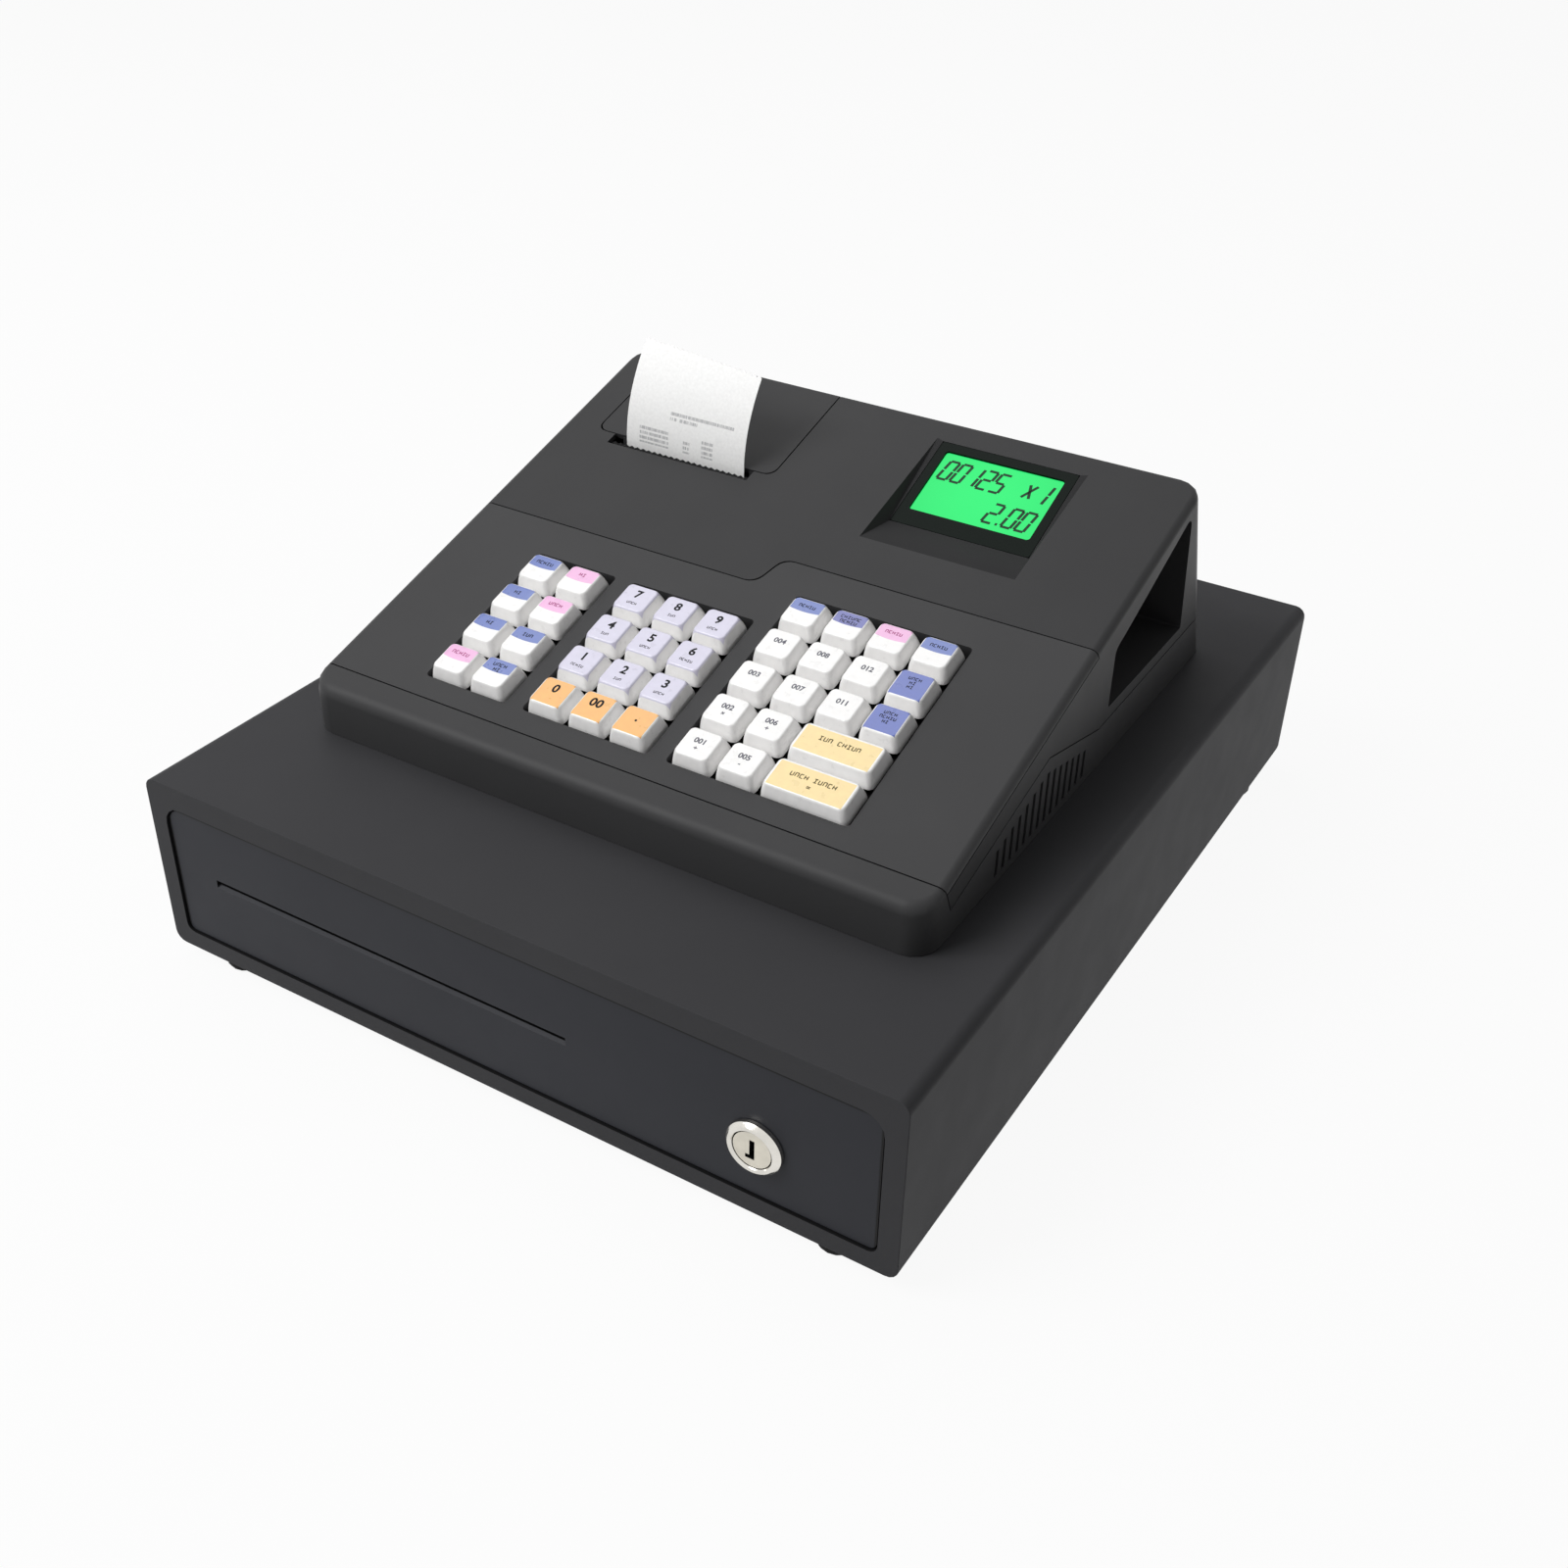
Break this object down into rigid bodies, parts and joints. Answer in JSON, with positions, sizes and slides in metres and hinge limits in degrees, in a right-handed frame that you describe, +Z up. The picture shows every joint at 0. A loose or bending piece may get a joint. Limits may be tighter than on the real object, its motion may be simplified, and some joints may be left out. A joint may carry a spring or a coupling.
{
  "type": "ticket register",
  "caption": "Countertop ticket register: wedge-shaped head with coloured keys, receipt printer under a hinged door and tilted green display, standing on a lockable cash drawer.",
  "frame": {"origin": "on the counter under the middle of the whole object's bounding box", "axes": "+X to the operator's right, +Y from the operator towards the rear, +Z up"},
  "size_m": [0.35, 0.4074, 0.2087],
  "materials": {
    "case_paint": "fine satin powder coat",
    "panel_plastic": "satin moulded plastic",
    "tray_steel": "zinc-plated sheet",
    "insert_plastic": "fine-grained moulded plastic",
    "lock_chrome": "bright plated",
    "base_plastic": "fine-grained moulded plastic",
    "body_plastic": "fine-grained moulded plastic",
    "bezel_plastic": "polished plastic",
    "lcd_green": "backlit display glass",
    "frame_steel": "stamped plated sheet",
    "board_green": "lacquered circuit board",
    "paper_white": "smooth thermal paper",
    "platen_rubber": "ground rubber",
    "clip_steel": "spring steel strip",
    "cap_white": "smooth clear-capped plastic",
    "cap_lavender": "smooth clear-capped plastic",
    "cap_orange": "smooth clear-capped plastic",
    "cap_yellow": "smooth clear-capped plastic"
  },
  "bodies": {
    "register": {"drawer_case": "case_paint", "register_base": "base_plastic", "keyboard_cover": "body_plastic", "upper_cover": "body_plastic", "display_window": "bezel_plastic", "lcd_panel": "lcd_green", "key_frame": "insert_plastic", "printer_mechanism": "frame_steel", "main_board": "board_green"},
    "drawer": {"drawer_front": "panel_plastic", "drawer_tray": "tray_steel", "till_insert": "insert_plastic", "lock_barrel": "lock_chrome"},
    "lock_plug": {"lock_plug": "lock_chrome"},
    "printer_door": {"printer_door": "body_plastic", "ticket_strip": "paper_white"},
    "platen_roller": {"platen_roller": "platen_rubber"},
    "paper_roll": {"paper_roll": "paper_white"},
    "bill_clip_1": {"bill_clip_1": "clip_steel"},
    "bill_clip_2": {"bill_clip_2": "clip_steel"},
    "bill_clip_3": {"bill_clip_3": "clip_steel"},
    "bill_clip_4": {"bill_clip_4": "clip_steel"},
    "function_key_1": {"function_key_1": "cap_white"},
    "function_key_2": {"function_key_2": "cap_white"},
    "function_key_3": {"function_key_3": "cap_white"},
    "function_key_4": {"function_key_4": "cap_white"},
    "function_key_5": {"function_key_5": "cap_white"},
    "function_key_6": {"function_key_6": "cap_white"},
    "function_key_7": {"function_key_7": "cap_white"},
    "function_key_8": {"function_key_8": "cap_white"},
    "key_0": {"key_0": "cap_orange"},
    "key_00": {"key_00": "cap_orange"},
    "key_point": {"key_point": "cap_orange"},
    "key_1": {"key_1": "cap_lavender"},
    "key_2": {"key_2": "cap_lavender"},
    "key_3": {"key_3": "cap_lavender"},
    "key_4": {"key_4": "cap_lavender"},
    "key_5": {"key_5": "cap_lavender"},
    "key_6": {"key_6": "cap_lavender"},
    "key_7": {"key_7": "cap_lavender"},
    "key_8": {"key_8": "cap_lavender"},
    "key_9": {"key_9": "cap_lavender"},
    "entry_key_r1_c1": {"entry_key_r1_c1": "cap_white"},
    "entry_key_r1_c2": {"entry_key_r1_c2": "cap_white"},
    "entry_key_r1_c3": {"entry_key_r1_c3": "cap_white"},
    "entry_key_r1_c4": {"entry_key_r1_c4": "cap_white"},
    "entry_key_r2_c1": {"entry_key_r2_c1": "cap_white"},
    "entry_key_r2_c2": {"entry_key_r2_c2": "cap_white"},
    "entry_key_r2_c3": {"entry_key_r2_c3": "cap_white"},
    "entry_key_r2_c4": {"entry_key_r2_c4": "cap_white"},
    "entry_key_r3_c1": {"entry_key_r3_c1": "cap_white"},
    "entry_key_r3_c2": {"entry_key_r3_c2": "cap_white"},
    "entry_key_r3_c3": {"entry_key_r3_c3": "cap_white"},
    "entry_key_r3_c4": {"entry_key_r3_c4": "cap_white"},
    "entry_key_r4_c1": {"entry_key_r4_c1": "cap_white"},
    "entry_key_r4_c2": {"entry_key_r4_c2": "cap_white"},
    "entry_key_r5_c1": {"entry_key_r5_c1": "cap_white"},
    "entry_key_r5_c2": {"entry_key_r5_c2": "cap_white"},
    "subtotal_key": {"subtotal_key": "cap_yellow"},
    "total_key": {"total_key": "cap_yellow"}
  },
  "joints": [
    {"name": "drawer_slide", "type": "slide", "parent": "register", "child": "drawer", "axis": [0, -1, 0], "range_m": [0, 0.3]},
    {"name": "lock_turn", "type": "hinge", "parent": "drawer", "child": "lock_plug", "pos_m": [0.1164, -0.20375, 0.0403], "axis": [0, 1, 0], "range_deg": [0, 90]},
    {"name": "door_swing", "type": "hinge", "parent": "register", "child": "printer_door", "pos_m": [-0.07955, 0.11319, 0.16031], "axis": [-1, 0, 0], "range_deg": [0, 90]},
    {"name": "roll_spin", "type": "hinge", "parent": "register", "child": "paper_roll", "pos_m": [-0.0775, 0.08675, 0.1363], "axis": [1, 0, 0], "continuous": true},
    {"name": "platen_spin", "type": "hinge", "parent": "printer_door", "child": "platen_roller", "pos_m": [-0.0775, 0.05017, 0.15686], "axis": [1, 0, 0], "continuous": true},
    {"name": "bill_clip_1_lift", "type": "hinge", "parent": "drawer", "child": "bill_clip_1", "pos_m": [-0.11603, 0.09715, 0.0626], "axis": [-1, 0, 0], "range_deg": [0, 28], "stiffness_Nm_per_rad": 0.15, "springref_deg": -11.46},
    {"name": "bill_clip_2_lift", "type": "hinge", "parent": "drawer", "child": "bill_clip_2", "pos_m": [-0.03868, 0.09715, 0.0626], "axis": [-1, 0, 0], "range_deg": [0, 28], "stiffness_Nm_per_rad": 0.15, "springref_deg": -11.46},
    {"name": "bill_clip_3_lift", "type": "hinge", "parent": "drawer", "child": "bill_clip_3", "pos_m": [0.03868, 0.09715, 0.0626], "axis": [-1, 0, 0], "range_deg": [0, 28], "stiffness_Nm_per_rad": 0.15, "springref_deg": -11.46},
    {"name": "bill_clip_4_lift", "type": "hinge", "parent": "drawer", "child": "bill_clip_4", "pos_m": [0.11603, 0.09715, 0.0626], "axis": [-1, 0, 0], "range_deg": [0, 28], "stiffness_Nm_per_rad": 0.15, "springref_deg": -11.46},
    {"name": "function_key_1_press", "type": "slide", "parent": "register", "child": "function_key_1", "axis": [0, 0.2841, -0.9588], "range_m": [0, 0.0035], "stiffness_N_per_m": 120, "springref_m": -0.003},
    {"name": "function_key_2_press", "type": "slide", "parent": "register", "child": "function_key_2", "axis": [0, 0.2841, -0.9588], "range_m": [0, 0.0035], "stiffness_N_per_m": 120, "springref_m": -0.003},
    {"name": "function_key_3_press", "type": "slide", "parent": "register", "child": "function_key_3", "axis": [0, 0.2841, -0.9588], "range_m": [0, 0.0035], "stiffness_N_per_m": 120, "springref_m": -0.003},
    {"name": "function_key_4_press", "type": "slide", "parent": "register", "child": "function_key_4", "axis": [0, 0.2841, -0.9588], "range_m": [0, 0.0035], "stiffness_N_per_m": 120, "springref_m": -0.003},
    {"name": "function_key_5_press", "type": "slide", "parent": "register", "child": "function_key_5", "axis": [0, 0.2841, -0.9588], "range_m": [0, 0.0035], "stiffness_N_per_m": 120, "springref_m": -0.003},
    {"name": "function_key_6_press", "type": "slide", "parent": "register", "child": "function_key_6", "axis": [0, 0.2841, -0.9588], "range_m": [0, 0.0035], "stiffness_N_per_m": 120, "springref_m": -0.003},
    {"name": "function_key_7_press", "type": "slide", "parent": "register", "child": "function_key_7", "axis": [0, 0.2841, -0.9588], "range_m": [0, 0.0035], "stiffness_N_per_m": 120, "springref_m": -0.003},
    {"name": "function_key_8_press", "type": "slide", "parent": "register", "child": "function_key_8", "axis": [0, 0.2841, -0.9588], "range_m": [0, 0.0035], "stiffness_N_per_m": 120, "springref_m": -0.003},
    {"name": "key_0_press", "type": "slide", "parent": "register", "child": "key_0", "axis": [0, 0.2841, -0.9588], "range_m": [0, 0.0035], "stiffness_N_per_m": 120, "springref_m": -0.003},
    {"name": "key_00_press", "type": "slide", "parent": "register", "child": "key_00", "axis": [0, 0.2841, -0.9588], "range_m": [0, 0.0035], "stiffness_N_per_m": 120, "springref_m": -0.003},
    {"name": "key_point_press", "type": "slide", "parent": "register", "child": "key_point", "axis": [0, 0.2841, -0.9588], "range_m": [0, 0.0035], "stiffness_N_per_m": 120, "springref_m": -0.003},
    {"name": "key_1_press", "type": "slide", "parent": "register", "child": "key_1", "axis": [0, 0.2841, -0.9588], "range_m": [0, 0.0035], "stiffness_N_per_m": 120, "springref_m": -0.003},
    {"name": "key_2_press", "type": "slide", "parent": "register", "child": "key_2", "axis": [0, 0.2841, -0.9588], "range_m": [0, 0.0035], "stiffness_N_per_m": 120, "springref_m": -0.003},
    {"name": "key_3_press", "type": "slide", "parent": "register", "child": "key_3", "axis": [0, 0.2841, -0.9588], "range_m": [0, 0.0035], "stiffness_N_per_m": 120, "springref_m": -0.003},
    {"name": "key_4_press", "type": "slide", "parent": "register", "child": "key_4", "axis": [0, 0.2841, -0.9588], "range_m": [0, 0.0035], "stiffness_N_per_m": 120, "springref_m": -0.003},
    {"name": "key_5_press", "type": "slide", "parent": "register", "child": "key_5", "axis": [0, 0.2841, -0.9588], "range_m": [0, 0.0035], "stiffness_N_per_m": 120, "springref_m": -0.003},
    {"name": "key_6_press", "type": "slide", "parent": "register", "child": "key_6", "axis": [0, 0.2841, -0.9588], "range_m": [0, 0.0035], "stiffness_N_per_m": 120, "springref_m": -0.003},
    {"name": "key_7_press", "type": "slide", "parent": "register", "child": "key_7", "axis": [0, 0.2841, -0.9588], "range_m": [0, 0.0035], "stiffness_N_per_m": 120, "springref_m": -0.003},
    {"name": "key_8_press", "type": "slide", "parent": "register", "child": "key_8", "axis": [0, 0.2841, -0.9588], "range_m": [0, 0.0035], "stiffness_N_per_m": 120, "springref_m": -0.003},
    {"name": "key_9_press", "type": "slide", "parent": "register", "child": "key_9", "axis": [0, 0.2841, -0.9588], "range_m": [0, 0.0035], "stiffness_N_per_m": 120, "springref_m": -0.003},
    {"name": "entry_key_r1_c1_press", "type": "slide", "parent": "register", "child": "entry_key_r1_c1", "axis": [0, 0.2841, -0.9588], "range_m": [0, 0.0035], "stiffness_N_per_m": 120, "springref_m": -0.003},
    {"name": "entry_key_r1_c2_press", "type": "slide", "parent": "register", "child": "entry_key_r1_c2", "axis": [0, 0.2841, -0.9588], "range_m": [0, 0.0035], "stiffness_N_per_m": 120, "springref_m": -0.003},
    {"name": "entry_key_r1_c3_press", "type": "slide", "parent": "register", "child": "entry_key_r1_c3", "axis": [0, 0.2841, -0.9588], "range_m": [0, 0.0035], "stiffness_N_per_m": 120, "springref_m": -0.003},
    {"name": "entry_key_r1_c4_press", "type": "slide", "parent": "register", "child": "entry_key_r1_c4", "axis": [0, 0.2841, -0.9588], "range_m": [0, 0.0035], "stiffness_N_per_m": 120, "springref_m": -0.003},
    {"name": "entry_key_r2_c1_press", "type": "slide", "parent": "register", "child": "entry_key_r2_c1", "axis": [0, 0.2841, -0.9588], "range_m": [0, 0.0035], "stiffness_N_per_m": 120, "springref_m": -0.003},
    {"name": "entry_key_r2_c2_press", "type": "slide", "parent": "register", "child": "entry_key_r2_c2", "axis": [0, 0.2841, -0.9588], "range_m": [0, 0.0035], "stiffness_N_per_m": 120, "springref_m": -0.003},
    {"name": "entry_key_r2_c3_press", "type": "slide", "parent": "register", "child": "entry_key_r2_c3", "axis": [0, 0.2841, -0.9588], "range_m": [0, 0.0035], "stiffness_N_per_m": 120, "springref_m": -0.003},
    {"name": "entry_key_r2_c4_press", "type": "slide", "parent": "register", "child": "entry_key_r2_c4", "axis": [0, 0.2841, -0.9588], "range_m": [0, 0.0035], "stiffness_N_per_m": 120, "springref_m": -0.003},
    {"name": "entry_key_r3_c1_press", "type": "slide", "parent": "register", "child": "entry_key_r3_c1", "axis": [0, 0.2841, -0.9588], "range_m": [0, 0.0035], "stiffness_N_per_m": 120, "springref_m": -0.003},
    {"name": "entry_key_r3_c2_press", "type": "slide", "parent": "register", "child": "entry_key_r3_c2", "axis": [0, 0.2841, -0.9588], "range_m": [0, 0.0035], "stiffness_N_per_m": 120, "springref_m": -0.003},
    {"name": "entry_key_r3_c3_press", "type": "slide", "parent": "register", "child": "entry_key_r3_c3", "axis": [0, 0.2841, -0.9588], "range_m": [0, 0.0035], "stiffness_N_per_m": 120, "springref_m": -0.003},
    {"name": "entry_key_r3_c4_press", "type": "slide", "parent": "register", "child": "entry_key_r3_c4", "axis": [0, 0.2841, -0.9588], "range_m": [0, 0.0035], "stiffness_N_per_m": 120, "springref_m": -0.003},
    {"name": "entry_key_r4_c1_press", "type": "slide", "parent": "register", "child": "entry_key_r4_c1", "axis": [0, 0.2841, -0.9588], "range_m": [0, 0.0035], "stiffness_N_per_m": 120, "springref_m": -0.003},
    {"name": "entry_key_r4_c2_press", "type": "slide", "parent": "register", "child": "entry_key_r4_c2", "axis": [0, 0.2841, -0.9588], "range_m": [0, 0.0035], "stiffness_N_per_m": 120, "springref_m": -0.003},
    {"name": "entry_key_r5_c1_press", "type": "slide", "parent": "register", "child": "entry_key_r5_c1", "axis": [0, 0.2841, -0.9588], "range_m": [0, 0.0035], "stiffness_N_per_m": 120, "springref_m": -0.003},
    {"name": "entry_key_r5_c2_press", "type": "slide", "parent": "register", "child": "entry_key_r5_c2", "axis": [0, 0.2841, -0.9588], "range_m": [0, 0.0035], "stiffness_N_per_m": 120, "springref_m": -0.003},
    {"name": "subtotal_key_press", "type": "slide", "parent": "register", "child": "subtotal_key", "axis": [0, 0.2841, -0.9588], "range_m": [0, 0.0035], "stiffness_N_per_m": 120, "springref_m": -0.003},
    {"name": "total_key_press", "type": "slide", "parent": "register", "child": "total_key", "axis": [0, 0.2841, -0.9588], "range_m": [0, 0.0035], "stiffness_N_per_m": 120, "springref_m": -0.003}
  ],
  "couplings": [
    {"joint": "platen_spin", "follows": "roll_spin", "ratio": 5.0909}
  ]
}
